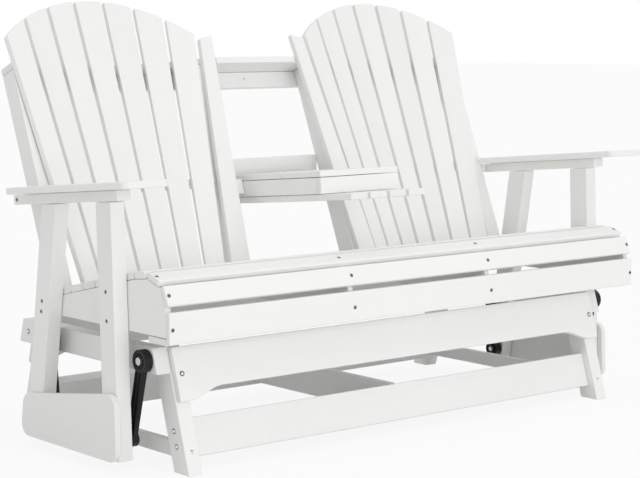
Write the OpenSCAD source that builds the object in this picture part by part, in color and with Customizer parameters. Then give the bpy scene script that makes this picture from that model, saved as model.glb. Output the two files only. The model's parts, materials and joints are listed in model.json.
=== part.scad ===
// Outdoor glider loveseat of plastic lumber: a low base, four hanging glide arms, a two-place seat
// with fan backs, and a console between the backs that folds down.
// X is the width, the seat faces -Y, Z is up from the ground, and sizes are in millimetres.

/* [Lumber] */
// Thickness of the thin boards
board_t = 17; // [14:0.5:22]
// Thickness of the boards on the seat's rounded front edge
nose_t = 15.5; // [12:0.5:17]
// Thickness of the structural lumber: legs, posts, rails and uprights
post_t = 38; // [34:1:42]
// Width of the structural lumber of the arm posts
post_w = 62; // [54:1:70]

/* [Base] */
// Width of a leg, square to its length
leg_w = 57; // [48:1:64]
// Distance from the middle of the base to the middle of a leg at the ground
leg_foot_y = 335; // [310:1:360]
// Lean of the legs from upright
leg_lean = 17; // [12:0.5:20]
// Height of the base
base_h = 282; // [265:1:284]
// Height of a pivot rail
pivot_rail_h = 59; // [50:1:66]
// Half length of a pivot rail at mid height
pivot_rail_half = 291; // [280:1:300]
// Height of the apron's straight lower edge above the ground
apron_low = 182; // [160:1:200]
// Drop of the apron's ends below its straight lower edge
apron_drop = 25; // [12:1:32]
// Height of the stretchers' lower edge
stretcher_low = 35; // [28:1:45]
// Width of the stretcher boards
stretcher_w = 89; // [70:1:100]
// Height of the lower side rails' underside
side_rail_low = 31; // [22:1:34]
// Height of a lower side rail
side_rail_h = 37; // [34:1:50]
// Height of the centre brace
brace_h = 78; // [60:1:84]

/* [Glide arms] */
// Depth of the upper pivots below the top of the base
pivot_drop = 30.5; // [27.5:0.5:33]
// Height of the lower pivots
pivot_deep = 67; // [62:0.5:76]
// Distance of the front upper pivot ahead of the middle
front_high_y = 260; // [252:1:266]
// Distance of the front lower pivot ahead of the middle
front_deep_y = 211; // [206:1:216]
// Distance of the rear upper pivot behind the middle
rear_high_y = 136; // [134:0.5:138]
// Distance of the rear lower pivot behind the middle
rear_deep_y = 114.5; // [110:0.5:120]
// Thickness of a glide arm
arm_t = 20; // [16:0.5:22]
// Diameter of the arm's upper housing
housing_d = 52; // [48:1:53]
// Diameter of the bearing in the housing
bearing_d = 43; // [38:1:45]
// Diameter of a front arm's lower eye
eye_d = 35; // [32:1:40]
// Diameter of a rear arm's lower eye
rear_eye_d = 44; // [40:1:48]
// Diameter of the pivot bolts
pivot_bolt_d = 10; // [8:0.5:12]
// Radial play of the rear lower eyes, which follow the seat along a slightly different arc
rear_play = 3; // [2.9:0.1:3.6]

/* [Seat] */
// Half width over the seat supports and the front boards
seat_half = 745.5; // [744:0.5:760]
// Distance between the middles of an outer and an inner seat support
bay_w = 515; // [500:1:530]
// Clearance between the base and the board under the seat's front
seat_clear = 17; // [12:1:22]
// Height of the seat at the bend behind its front edge, above the supports' underside
seat_rise = 119; // [110:1:128]
// Slope of the seat
seat_slope = 12.6; // [8:0.2:15]
// Number of full slats behind the bend
slat_count = 6; // [4:1:6]
// Width of a seat slat
slat_w = 52; // [40:0.5:52.5]
// Gap between two seat slats
slat_gap = 2.5; // [1.5:0.5:6]
// Height of the lowest front board
front_board_h = 72; // [60:1:78]
// Width of the flat board under the seat's front
under_board_w = 70; // [50:1:80]

/* [Arms] */
// Height of the posts' lower ends above the ground
post_low = 25; // [20:1:32]
// Distance of the front post's middle ahead of the middle, at the ground
front_post_y = 210; // [204:1:214]
// Lean of the front posts
front_post_lean = 1.9; // [0:0.1:4]
// Distance of the rear post's middle behind the middle, at the ground
rear_post_y = 137.5; // [130:0.5:142]
// Lean of the rear posts
rear_post_lean = 9.3; // [7:0.1:10.5]
// Height of the armrest's top at its front end
armrest_z = 661; // [640:1:680]
// Rise of the armrest towards the front
armrest_pitch = 5.05; // [3:0.05:7]
// Distance of the armrest's front end ahead of the middle
armrest_front = 350; // [335:1:365]
// Length of an armrest along Y
armrest_len = 507; // [465:1:512]
// Reach of an armrest inboard of its posts
armrest_inboard = 37.5; // [25:0.5:45]
// Width of an armrest
armrest_w = 122; // [112:1:140]
// Radius of an armrest's front corners, seen from above
armrest_r = 20; // [8:1:30]
// Height of the cleat between the posts and the armrest
cleat_h = 26; // [22:1:30]
// Distance of the skirt's front edge ahead of the middle, at the ground
skirt_front = 256; // [252:1:266]
// Height of the skirt's top at its front edge
skirt_top = 184; // [170:1:200]
// Height of the skirt's top at its rear edge
skirt_rear_top = 127; // [110:1:140]
// Radius of the skirt's corners
skirt_r = 30; // [10:1:36]

/* [Backs] */
// Distance of the backs behind the middle at the seat line
back_y = 134.5; // [132:0.5:140]
// Height of the seat line, where the backs' sizes start, above the supports' underside
back_rise = 141; // [136:1:149]
// Lean of the backs
back_lean = 21.8; // [20:0.1:23]
// Distance of a fan's axis inboard of the middle of its bay
fan_shift = 19.5; // [17:0.5:22]
// Half of the arc that a fan spans, in degrees
fan_arc = 16.5; // [14:0.1:18]
// Difference between a bay's width and a fan's width at the seat line
fan_draw = 75; // [71:1:91]
// Growth of a fan's width from the seat line to its top
fan_growth = 142; // [120:1:144]
// Number of slats in a fan
fan_count = 7; // [5:2:9]
// Gap between two fan slats, and between a fan and its filler board
fan_gap = 9; // [5:0.5:14]
// Width of a filler board at the seat line
filler_w_low = 56; // [46:1:60]
// Width of a filler board at its top
filler_w_top = 40; // [30:1:44]
// Length of a filler board above the seat line
filler_top = 536; // [500:1:560]
// Depth of a filler board's rear face ahead of the middle slats' front
filler_p = 24.3; // [24.1:0.1:26]
// Length of the middle slat above the seat line
fan_top = 645; // [620:1:650]
// Radius of the fan's rounded top
fan_top_r = 410; // [380:1:480]
// Length of the slats below the seat line
fan_tail = 106; // [98:1:108]
// Depth of the uprights behind the slats
upright_rear = 37; // [34:1:40]
// Length of the uprights above the seat line
upright_top = 460; // [456:1:470]
// Height of the rail behind the uprights
top_rail_h = 44; // [36:1:56]
// Place of the middle supports along the backs
mid_support_q = 143; // [120:1:170]
// Place of the lowest supports along the backs
low_support_q = -104; // [-106:1:-98]

/* [Console] */
// Thickness of the hinge blocks between the console and the inner uprights
block_t = 46.5; // [42:0.5:54]
// Length of the console's box ahead of its pivot
console_len = 325; // [300:1:328]
// Length of the panel ahead of the console's pivot
panel_len = 429; // [410:1:436]
// Length of the panel's tail behind the pivot
panel_tail = 77; // [72:1:84]
// Length of the box behind the pivot
console_tail = 44; // [38:1:50]
// Depth of the box from its top to the panel
console_h = 58.5; // [54:0.5:59]
// Height of the pivot above the panel
console_pivot_h = 26; // [22:0.5:28]
// Slope of the console when it is down
console_pitch = 5; // [3:0.1:7]
// Distance of the panel's edge inboard of the console's side
panel_inset = 8; // [4:1:18]
// Number of slats in the panel
panel_count = 4; // [3:1:6]
// Gap between two panel slats
panel_gap = 9; // [4:0.5:14]
// Place of the console's pivot along the backs
console_pivot_q = 127; // [125:0.5:128]
// Reach of the top support ahead of the middle slats' front, where the raised console leans
console_rest = 33; // [30:0.5:35]
// Height of the board behind the console above the console's pivot
stop_rise = 68; // [45:1:80]
// Diameter of the console's pivot bolts
console_bolt_d = 10; // [8:0.5:12]

/* [Fasteners] */
// Diameter of a wood screw's head
screw_head_d = 7.5; // [6:0.5:10]
// Height of a wood screw's head above the board
screw_head_h = 1.2; // [0.6:0.1:2]
// Diameter of a wood screw's shank
screw_d = 4.5; // [3.5:0.5:6]
// Length of a wood screw
screw_len = 38; // [30:1:45]
// Diameter of a carriage bolt's domed head
bolt_head_d = 12; // [11:0.5:15]
// Height of a carriage bolt's domed head
bolt_head_h = 3.5; // [3:0.5:4.5]
// Diameter of the carriage bolts
bolt_d = 8; // [6:0.5:9]

/* [Hidden] */
$fn = 48;
// Radial play of a shank in its hole
fit = 0.05;
// Gap between separate boards of one piece
seam = 0.3;
// Space between a turning face and its neighbour
side_play = 1;
// Room for a pivot bolt's head between a glide arm and a post
head_room = 5.5;
// Sizes of a fastener's tip clearance and of the cutters that run past a face
tip = 0.5;
past = 5;

// Heights, worked upwards from the base
pivot_high = base_h - pivot_drop;
support_low = base_h + seat_clear + board_t;
seat_front_z = support_low + seat_rise;
back_z = support_low + back_rise;

// Places across the width, worked inwards from the seat's side
arm_out = seat_half - head_room;
arm_in = arm_out - arm_t;
rail_out = arm_in - side_play;
leg_half = rail_out - post_t;
leg_in = leg_half - post_t;
leg_mid_x = leg_half - post_t / 2;
post_out = seat_half + post_t;
outer_support_in = seat_half - board_t;
upright_out_x = outer_support_in;
upright_out_in = outer_support_in - post_t;
inner_support_x = seat_half - board_t / 2 - bay_w;
inner_upright_out = inner_support_x - board_t / 2;
inner_upright_in = inner_upright_out - post_t;

// Legs
leg_run = tan(leg_lean);
leg_half_y = leg_w / cos(leg_lean) / 2;
function leg_mid(z) = leg_foot_y - leg_run * z;
function leg_face(z) = leg_mid(z) + leg_half_y;
function leg_back(z) = leg_mid(z) - leg_half_y;
apron_step = board_t / cos(leg_lean);
rail_low = base_h - pivot_rail_h;
rail_mid_z = base_h - pivot_rail_h / 2;
function rail_end(z) = pivot_rail_half - leg_run * (z - rail_mid_z);
stretcher_bolt_z = [stretcher_low + stretcher_w * 0.28, stretcher_low + stretcher_w * 0.66];
lag_z = side_rail_low + side_rail_h / 2;
apron_bolt_z = apron_low + (base_h - apron_low) * 0.41;
apron_tip = leg_half - 3;
apron_toe = 28;
apron_curve = 94;
curve_steps = 10;
lag_seat = bolt_head_d / 2 * leg_run;

// Lengths of the bolts
stretcher_bolt_len = post_t + 50;
lag_len = leg_w + 45;
apron_bolt_len = board_t + 40;
rail_bolt_len = 2 * post_t - 6;
nut_d = 17;
nut_h = 8;

// Glide arms
front_angle = atan((front_high_y - front_deep_y) / (pivot_high - pivot_deep));
rear_angle = -atan((rear_high_y - rear_deep_y) / (pivot_high - pivot_deep));
front_arm_len = norm([front_high_y - front_deep_y, pivot_high - pivot_deep]);
rear_arm_len = norm([rear_high_y - rear_deep_y, pivot_high - pivot_deep]);
arm_bar_t = 12;
arm_rim = 4;
arm_rib = 4;
arm_waist_top = 31;
arm_waist_low = 27;
arm_groove = 2.5;
pocket_count = 12;
pocket_rib = 1.8;
pocket_ring = [7.5, 19.5];
eye_pocket_ring = [9.5, 19];
pocket_depth = 3;
pivot_cap_d = 12;
pivot_cap_h = 4.5;
eye_cap_d = 18;
eye_cap_h = 5;
pivot_grip = 34;

// Seat
seat_run = tan(seat_slope);
bend_y = -251;
function seat_under(y) = seat_front_z - seat_run * (y - bend_y);
slat_pitch = slat_w + slat_gap;
seat_back_y = 72;
support_rear_y = 132;
lip_y = -305;
lip_z = seat_front_z + 6;
lip_w = 44;
lip_angle = 19;
lip_end = [lip_y - lip_w * cos(lip_angle), lip_z - lip_w * sin(lip_angle)];
brow_top = [lip_end[0] - 6, lip_end[1]];
brow_w = 48;
brow_angle = 24;
brow_end = [brow_top[0] - brow_w * sin(brow_angle), brow_top[1] - brow_w * cos(brow_angle)];
front_y = brow_end[0] - 2;
front_board_low = support_low - 13;
first_slat_w = 41;
lip_run = (lip_z - seat_front_z) / (bend_y - lip_y);
slat_len_half = seat_half - 1;
screw_rows = [seat_half - board_t / 2, inner_support_x];

// Posts and arms
front_post_run = tan(front_post_lean);
rear_post_run = tan(rear_post_lean);
arm_run = tan(armrest_pitch);
function armrest_under(y) = armrest_z - board_t / cos(armrest_pitch) - arm_run * (y + armrest_front);
function front_post_mid(z) = -front_post_y + front_post_run * z;
function rear_post_mid(z) = rear_post_y - rear_post_run * z;
front_post_half = post_w / cos(front_post_lean) / 2;
rear_post_half = post_w / cos(rear_post_lean) / 2;
function cleat_under(y) = armrest_under(y) - cleat_h / cos(armrest_pitch);
cleat_inset = 104;
cleat_len = 454;
post_screw_z = [support_low + 23, support_low + 88];
rear_screw_z = [support_low + 12, support_low + 37];
skirt_screw_z = [post_low + 20, post_low + 70];
post_screw_len = post_t + board_t - 2;
cleat_screw_y = back_y + 51.5;
cleat_screw_len = post_t + board_t + 20;
spacer_half = 22;

// Backs
function fan_half(q) = (bay_w - fan_draw + fan_growth * q / fan_top) / 2;
function fan_r(q) = fan_half(q) / sin(fan_arc);
fan_x = inner_support_x + bay_w / 2 - fan_shift;
fan_step = 2 * fan_arc / fan_count;
fan_spread = (fan_r(fan_top) - fan_r(0)) / fan_top;
end_angle = fan_arc - fan_step / 2;
function slat_back(x, q) = (fan_r(q) + board_t + fit - abs(x) * sin(end_angle)) / cos(end_angle) - fan_r(q);
function fan_slat_w(q) = 2 * fan_r(q) * tan(fan_step / 2) - fan_gap;
function filler_out(q) = fan_x - fan_half(q) - fan_gap;
function filler_w(q) = filler_w_low + (filler_w_top - filler_w_low) * q / filler_top;
filler_low = -84;
filler_slope = 10;
top_support_q = upright_top;
top_rail_half = seat_half - 34;
outer_bevel_out = 19.5;
outer_bevel_in = 9.5;
inner_flat = 7.5;
inner_bevel = 8;
upright_low = -132;
upright_screw_at = [[-5, -110], [22, -115]];

// Console
console_half = inner_upright_in - side_play - block_t;
panel_half = console_half - panel_inset;
// Distance that the board behind the console stays clear of the turning box
stop_play = 9.7;
stop_reach = norm([console_tail, console_h - console_pivot_h]) + stop_play;
pivot_p = -console_rest - side_play + console_pivot_h;
pivot_y = back_y + pivot_p * cos(back_lean) + console_pivot_q * sin(back_lean);
pivot_z = back_z - pivot_p * sin(back_lean) + console_pivot_q * cos(back_lean);
block_half = 20;
console_bolt_grip = 41;
block_front = -18;
block_rear = 30;
stop_y = pivot_y + stop_reach;
stop_top = pivot_z + stop_rise;
stop_low = pivot_z - console_pivot_h / cos(console_pitch) - stop_reach * tan(console_pitch) + seam;
panel_slat_w = (2 * panel_half - (panel_count - 1) * panel_gap) / panel_count;
console_joint_front = -165.5;
console_joint_rear = -7;
console_pin_len = console_bolt_grip + board_t + side_play;
front_reach = -front_y + nose_t + screw_head_h;
rear_reach = back_y + board_t * cos(back_lean) + fan_top * sin(back_lean);
frame_shift = (front_reach - rear_reach) / 2;

// Placing helpers
module place() { translate([0, frame_shift, 0]) children(); }
module both() { children(); mirror([1, 0, 0]) children(); }
module ends() { children(); mirror([0, 1, 0]) children(); }
module left() { mirror([1, 0, 0]) children(); }
module rear() { mirror([0, 1, 0]) children(); }
module into_side(x, y, z) { translate([x, y, z]) rotate([0, -90, 0]) children(); }
module out_side(x, y, z) { translate([x, y, z]) rotate([0, 90, 0]) children(); }
module into_front(x, y, z, down = 0) { translate([x, y, z]) rotate([-90 - down, 0, 0]) children(); }
module side_board(x, t) { translate([x, 0, 0]) rotate([90, 0, 90]) linear_extrude(t) children(); }
module standing_board(t) { translate([0, t, 0]) rotate([90, 0, 0]) linear_extrude(t) children(); }
module at_back() { translate([0, back_y, back_z]) rotate([-back_lean, 0, 0]) children(); }
module at_console() { translate([0, pivot_y, pivot_z]) rotate([-console_pitch, 0, 0]) children(); }
function flip(points) = [for (i = [len(points) - 1:-1:0]) [-points[i][0], points[i][1]]];
function unit(v) = v / norm(v);
function turned(v, a) = [v[0] * cos(a) - v[1] * sin(a), v[0] * sin(a) + v[1] * cos(a)];
function fillet(a, b, c, r, n) = let (
    u = unit(a - b), v = unit(c - b), h = acos(u * v) / 2,
    m = b + unit(u + v) * r / sin(h), d = b + u * r / tan(h) - m)
    [for (k = [0:n]) m + turned(d, (180 - 2 * h) * k / n)];
function rounded(points, r, n) = let (m = len(points)) [
    for (i = [0:m - 1]) each fillet(points[(i + m - 1) % m], points[i], points[(i + 1) % m], r, n)];

// Fasteners, each with its head at the origin and its shank along +Z
module wood_screw(len = screw_len) {
    translate([0, 0, -screw_head_h]) cylinder(d = screw_head_d, h = screw_head_h);
    cylinder(d = screw_d, h = len);
}
module screw_hole(len = screw_len) {
    translate([0, 0, -past]) cylinder(d = screw_d + 2 * fit, h = len + past + tip);
}
module dome(d, h) {
    r = (d * d / 4 + h * h) / (2 * h);
    intersection() {
        translate([0, 0, r - h]) sphere(r);
        translate([0, 0, -h]) cylinder(d = d, h = h);
    }
}
module carriage_bolt(len) {
    dome(bolt_head_d, bolt_head_h);
    cylinder(d = bolt_d, h = len);
}
module bolt_hole(len) { translate([0, 0, -past]) cylinder(d = bolt_d + 2 * fit, h = len + past + tip); }

// Places of the base's bolts
module stretcher_bolts() {
    both() ends() for (z = stretcher_bolt_z) into_side(leg_half, -leg_mid(z), z) children();
}
module lag_bolts() {
    both() ends() into_front(leg_mid_x, -leg_face(lag_z) + lag_seat, lag_z) children();
}
module apron_bolts() {
    both() ends() into_front(leg_mid_x, -leg_face(apron_bolt_z) - apron_step, apron_bolt_z, leg_lean)
        children();
}
module rail_bolts() { both() into_side(rail_out, leg_mid(rail_mid_z), rail_mid_z) children(); }
module upper_pivots() {
    both() {
        into_side(arm_out, -front_high_y, pivot_high) children(0);
        into_side(arm_out, rear_high_y, pivot_high) children(1);
    }
}
module upper_pivot_holes() {
    hole_d = pivot_bolt_d + 2 * fit;
    both() {
        into_side(rail_out + past, -front_high_y, pivot_high) cylinder(d = hole_d, h = 3 * post_t);
        into_side(rail_out + past, rear_high_y, pivot_high) cylinder(d = hole_d, h = post_t + past + tip);
    }
}

// Base
module at_leg() { translate([0, -leg_face(0), 0]) rotate([-leg_lean, 0, 0]) children(); }
module leg() {
    color("whitesmoke") difference() {
        side_board(leg_in, post_t) polygon([
            [-leg_face(0), 0], [-leg_back(0), 0], [-leg_back(base_h), base_h], [-leg_face(base_h), base_h]]);
        stretcher_bolts() bolt_hole(stretcher_bolt_len);
        lag_bolts() bolt_hole(lag_len);
        lag_bolts() translate([0, 0, -3 * past]) cylinder(d = bolt_head_d + 1, h = 3 * past);
        apron_bolts() bolt_hole(apron_bolt_len);
        children();
    }
}
module leg_front_right() { leg() upper_pivot_holes(); }
module leg_front_left() { left() leg_front_right(); }
module leg_rear_right() { rear() leg() rear() rail_bolts() bolt_hole(rail_bolt_len); }
module leg_rear_left() { left() leg_rear_right(); }
module pivot_rail_right() {
    color("whitesmoke") difference() {
        side_board(leg_half, post_t) polygon([
            [-rail_end(rail_low), rail_low], [rail_end(rail_low), rail_low],
            [rail_end(base_h), base_h], [-rail_end(base_h), base_h]]);
        rail_bolts() bolt_hole(rail_bolt_len);
        upper_pivot_holes();
    }
}
module pivot_rail_left() { left() pivot_rail_right(); }
module lower_rail_right() {
    top = side_rail_low + side_rail_h;
    color("whitesmoke") difference() {
        side_board(leg_mid_x - board_t / 2, board_t) polygon([
            [-leg_back(side_rail_low), side_rail_low], [leg_back(side_rail_low), side_rail_low],
            [leg_back(top), top], [-leg_back(top), top]]);
        lag_bolts() bolt_hole(lag_len);
    }
}
module lower_rail_left() { left() lower_rail_right(); }
module apron_front() {
    top = (base_h - board_t * sin(leg_lean)) / cos(leg_lean);
    low = apron_low / cos(leg_lean);
    toe = low - apron_drop;
    half = [
        [apron_tip, top], [apron_tip, toe],
        for (i = [0:curve_steps]) [apron_tip - apron_toe - apron_curve * i / curve_steps,
            toe + apron_drop * (1 - cos(180 * i / curve_steps)) / 2]];
    color("whitesmoke") difference() {
        at_leg() translate([0, -board_t, 0]) standing_board(board_t) polygon(concat(half, flip(half)));
        apron_bolts() bolt_hole(apron_bolt_len);
    }
}
module apron_rear() { rear() apron_front(); }
module stretcher_front() {
    low = (stretcher_low + (leg_w - post_t) * sin(leg_lean)) / cos(leg_lean);
    color("whitesmoke") difference() {
        at_leg() translate([-leg_in, leg_w - post_t, low]) cube([2 * leg_in, post_t, stretcher_w]);
        stretcher_bolts() bolt_hole(stretcher_bolt_len);
    }
}
module stretcher_rear() { rear() stretcher_front(); }
module centre_brace() {
    top = stretcher_low + brace_h;
    color("whitesmoke") side_board(-board_t / 2, board_t) polygon([
        [-leg_back(stretcher_low), stretcher_low], [leg_back(stretcher_low), stretcher_low],
        [leg_back(top), top], [-leg_back(top), top]]);
}
module base_bolts() {
    color("silver") {
        stretcher_bolts() carriage_bolt(stretcher_bolt_len);
        lag_bolts() carriage_bolt(lag_len);
        apron_bolts() carriage_bolt(apron_bolt_len);
        rail_bolts() carriage_bolt(rail_bolt_len);
    }
}
module upper_pivot_bolts() {
    front_len = arm_t + side_play + 2 * post_t;
    rear_len = arm_t + side_play + post_t;
    color("silver") upper_pivots() {
        pivot_bolt(front_len);
        pivot_bolt(rear_len);
    }
}
module pivot_bolt(grip) {
    dome(pivot_cap_d, pivot_cap_h);
    cylinder(d = pivot_bolt_d, h = grip + nut_h);
    translate([0, 0, grip]) cylinder(d = nut_d, h = nut_h);
}

// Glide arms, drawn with the upper pivot at the origin and the arm hanging down -Z on the +X side
module arm(len, play, eye) {
    groove_top = -housing_d / 2 - 2;
    groove_low = -len + eye / 2 + 2;
    color("#1c1c1e") difference() {
        union() {
            rotate([0, 90, 0]) cylinder(d = housing_d, h = arm_t);
            translate([0, 0, -len]) rotate([0, 90, 0]) cylinder(d = eye, h = arm_t);
            side_board((arm_t - arm_bar_t) / 2, arm_bar_t) polygon([
                [-arm_waist_top / 2, 0], [arm_waist_top / 2, 0],
                [arm_waist_low / 2, -len], [-arm_waist_low / 2, -len]]);
        }
        translate([-past, 0, 0]) rotate([0, 90, 0]) cylinder(d = bearing_d + 2 * fit, h = arm_t + 2 * past);
        translate([-past, 0, -len]) rotate([0, 90, 0])
            cylinder(d = pivot_bolt_d + 2 * play, h = arm_t + 2 * past);
        for (side = [0, 1], way = [-1, 1])
            arm_groove(side, way, groove_top, groove_low, len);
    }
}
function arm_half(z, len) = (arm_waist_top + (arm_waist_low - arm_waist_top) * -z / len) / 2 - arm_rim;
module arm_groove(side, way, top, low, len) {
    face = (arm_t - arm_bar_t) / 2 + arm_groove;
    points = [
        [arm_rib / 2, low], [arm_half(low, len), low], [arm_half(top, len), top], [arm_rib / 2, top]];
    side_board(side == 0 ? -past : arm_t - face, face + past)
        polygon(way > 0 ? points : flip(points));
}
module at_front_arm() {
    translate([arm_in, -front_high_y, pivot_high]) rotate([front_angle, 0, 0]) children();
}
module at_rear_arm() {
    translate([arm_in, rear_high_y, pivot_high]) rotate([rear_angle, 0, 0]) children();
}
module glide_arm_front_right() { at_front_arm() arm(front_arm_len, fit, eye_d); }
module glide_arm_front_left() { left() glide_arm_front_right(); }
module glide_arm_rear_right() {
    at_rear_arm() difference() {
        arm(rear_arm_len, rear_play, rear_eye_d);
        translate([0, 0, -rear_arm_len]) pockets(-past, pocket_depth + past, eye_pocket_ring);
    }
}
module glide_arm_rear_left() { left() glide_arm_rear_right(); }
function pocket_half(r) = r * tan(180 / pocket_count) - pocket_rib / 2;
module pockets(x, depth, ring) {
    for (i = [0:pocket_count - 1]) rotate([i * 360 / pocket_count, 0, 0]) side_board(x, depth) polygon([
        [-pocket_half(ring[0]), ring[0]], [pocket_half(ring[0]), ring[0]],
        [pocket_half(ring[1]), ring[1]], [-pocket_half(ring[1]), ring[1]]]);
}
module bearing() {
    color("#2b2b2e") difference() {
        translate([tip, 0, 0]) rotate([0, 90, 0]) cylinder(d = bearing_d, h = arm_t - 2 * tip);
        translate([-past, 0, 0]) rotate([0, 90, 0])
            cylinder(d = pivot_bolt_d + 2 * fit, h = arm_t + 2 * past);
        pockets(arm_t - tip - pocket_depth, pocket_depth + past, pocket_ring);
    }
}
module bearing_front_right() { at_front_arm() bearing(); }
module bearing_front_left() { left() bearing_front_right(); }
module bearing_rear_right() { at_rear_arm() bearing(); }
module bearing_rear_left() { left() bearing_rear_right(); }
module lower_pivots() {
    both() for (y = [-front_deep_y, rear_deep_y]) out_side(arm_in - side_play, y, pivot_deep) children();
}
module lower_pivot_bolts() {
    grip = arm_t + side_play + fit;
    color("silver") lower_pivots() {
        translate([0, 0, -eye_cap_h]) cylinder(d = eye_cap_d, h = eye_cap_h);
        cylinder(d = pivot_bolt_d, h = grip + head_room + pivot_grip);
        translate([0, 0, grip + side_play]) cylinder(d = eye_cap_d, h = head_room - side_play - fit);
    }
}
module lower_pivot_holes() {
    lower_pivots() cylinder(d = pivot_bolt_d + 2 * fit, h = arm_t + side_play + head_room + pivot_grip + tip);
}

// Places of the seat's screws
module lip_screws() {
    both() for (x = screw_rows) translate([x, lip_y, lip_z]) rotate([lip_angle, 0, 0])
        translate([0, -lip_w / 2, nose_t]) rotate([180, 0, 0]) children();
}
module brow_screws() {
    both() for (x = screw_rows) translate([x, brow_top[0], brow_top[1]]) rotate([-brow_angle, 0, 0])
        translate([0, -nose_t, -brow_w / 2]) rotate([-90, 0, 0]) children();
}
module lower_board_screws() {
    both() for (x = screw_rows)
        into_front(x, front_y - nose_t, front_board_low + front_board_h * 0.47) children();
}
module post_screws() {
    both() {
        for (z = post_screw_z) into_side(post_out, front_post_mid(z), z) children();
        for (z = rear_screw_z) into_side(post_out, rear_post_mid(z), z) children();
    }
}
module cleat_screws() {
    both() into_side(post_out, cleat_screw_y, (armrest_under(cleat_screw_y) + cleat_under(cleat_screw_y)) / 2)
        children();
}
module skirt_screws() {
    both() for (z = skirt_screw_z) {
        out_side(seat_half, front_post_mid(z), z) children();
        out_side(seat_half, rear_post_mid(z), z) children();
    }
}
module upright_screws() {
    both() at_back() for (x = [upright_out_in, inner_upright_in], at = upright_screw_at)
        out_side(x, at[0], at[1]) children();
}
module support_screws() {
    both() at_back() for (x = [upright_out_x, inner_upright_out])
        translate([x - post_t / 2, upright_rear / 4, top_support_q + board_t]) rotate([180, 0, 0]) children();
}
module rail_screws() {
    both() at_back() for (x = [top_rail_half - post_t / 4, inner_upright_out - post_t / 2])
        translate([x, upright_rear + board_t, top_support_q - top_rail_h / 2]) rotate([90, 0, 0]) children();
}
module middle_screw() {
    at_back() translate([0, upright_rear, top_support_q - top_rail_h * 0.45]) rotate([-90, 0, 0]) children();
}
module seat_screws() {
    color("dimgray") {
        lip_screws() wood_screw();
        brow_screws() wood_screw();
        lower_board_screws() wood_screw();
        post_screws() wood_screw(post_screw_len);
        cleat_screws() wood_screw(cleat_screw_len);
        skirt_screws() wood_screw(post_screw_len);
        upright_screws() wood_screw(post_screw_len);
        support_screws() wood_screw();
        rail_screws() wood_screw();
        middle_screw() wood_screw(board_t - past);
    }
}

// Seat
module seat_support(x) {
    color("whitesmoke") difference() {
        side_board(x - board_t / 2, board_t) polygon([
            [front_y, support_low], [support_rear_y, support_low], [support_rear_y, seat_under(seat_back_y)],
            [seat_back_y, seat_under(seat_back_y)], [bend_y, seat_front_z], [lip_y, lip_z], lip_end,
            brow_top, brow_end, [front_y, brow_end[1] - 2]]);
        lip_screws() screw_hole();
        brow_screws() screw_hole();
        lower_board_screws() screw_hole();
        post_screws() screw_hole(post_screw_len);
        upright_screws() screw_hole(post_screw_len);
    }
}
module seat_support_outer_right() { seat_support(seat_half - board_t / 2); }
module seat_support_outer_left() { left() seat_support_outer_right(); }
module seat_support_inner_right() { seat_support(inner_support_x); }
module seat_support_inner_left() { left() seat_support_inner_right(); }
module seat_slats() {
    color("whitesmoke") translate([0, bend_y, seat_front_z]) {
        rotate([-seat_slope, 0, 0]) for (i = [0:slat_count - 1])
            translate([-slat_len_half, slat_gap / 2 + i * slat_pitch, 0])
                cube([2 * slat_len_half, slat_w, board_t]);
        rotate([-atan(lip_run), 0, 0]) translate([-slat_len_half, -slat_gap - first_slat_w, 0])
            cube([2 * slat_len_half, first_slat_w, board_t]);
    }
}
module front_lip_board() {
    color("whitesmoke") difference() {
        translate([-seat_half, lip_y, lip_z]) rotate([lip_angle, 0, 0])
            translate([0, -lip_w, 0]) cube([2 * seat_half, lip_w, nose_t]);
        lip_screws() screw_hole();
    }
}
module front_brow_board() {
    color("whitesmoke") difference() {
        translate([-seat_half, brow_top[0], brow_top[1]]) rotate([-brow_angle, 0, 0])
            translate([0, -nose_t, -brow_w]) cube([2 * seat_half, nose_t, brow_w]);
        brow_screws() screw_hole();
    }
}
module front_lower_board() {
    color("whitesmoke") difference() {
        translate([-seat_half, front_y - nose_t, front_board_low])
            cube([2 * seat_half, nose_t, front_board_h]);
        lower_board_screws() screw_hole();
    }
}
module front_under_board() {
    color("whitesmoke") translate([-seat_half, front_y, support_low - board_t])
        cube([2 * seat_half, under_board_w, board_t]);
}

// Posts, skirts and arms
module post_front_right() {
    a = -front_post_y - front_post_half;
    b = -front_post_y + front_post_half;
    za = cleat_under(a) / (1 + arm_run * front_post_run);
    zb = cleat_under(b) / (1 + arm_run * front_post_run);
    color("whitesmoke") difference() {
        side_board(seat_half, post_t) polygon([
            [a + front_post_run * post_low, post_low], [b + front_post_run * post_low, post_low],
            [b + front_post_run * zb, zb], [a + front_post_run * za, za]]);
        post_screws() screw_hole(post_screw_len);
        skirt_screws() screw_hole(post_screw_len);
        lower_pivot_holes();
    }
}
module post_front_left() { left() post_front_right(); }
module post_rear_right() {
    a = rear_post_y - rear_post_half;
    b = rear_post_y + rear_post_half;
    za = cleat_under(a) / (1 - arm_run * rear_post_run);
    zb = cleat_under(b) / (1 - arm_run * rear_post_run);
    color("whitesmoke") difference() {
        side_board(seat_half, post_t) polygon([
            [a - rear_post_run * post_low, post_low], [b - rear_post_run * post_low, post_low],
            [b - rear_post_run * zb, zb], [a - rear_post_run * za, za]]);
        post_screws() screw_hole(post_screw_len);
        skirt_screws() screw_hole(post_screw_len);
        lower_pivot_holes();
    }
}
module post_rear_left() { left() post_rear_right(); }
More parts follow.
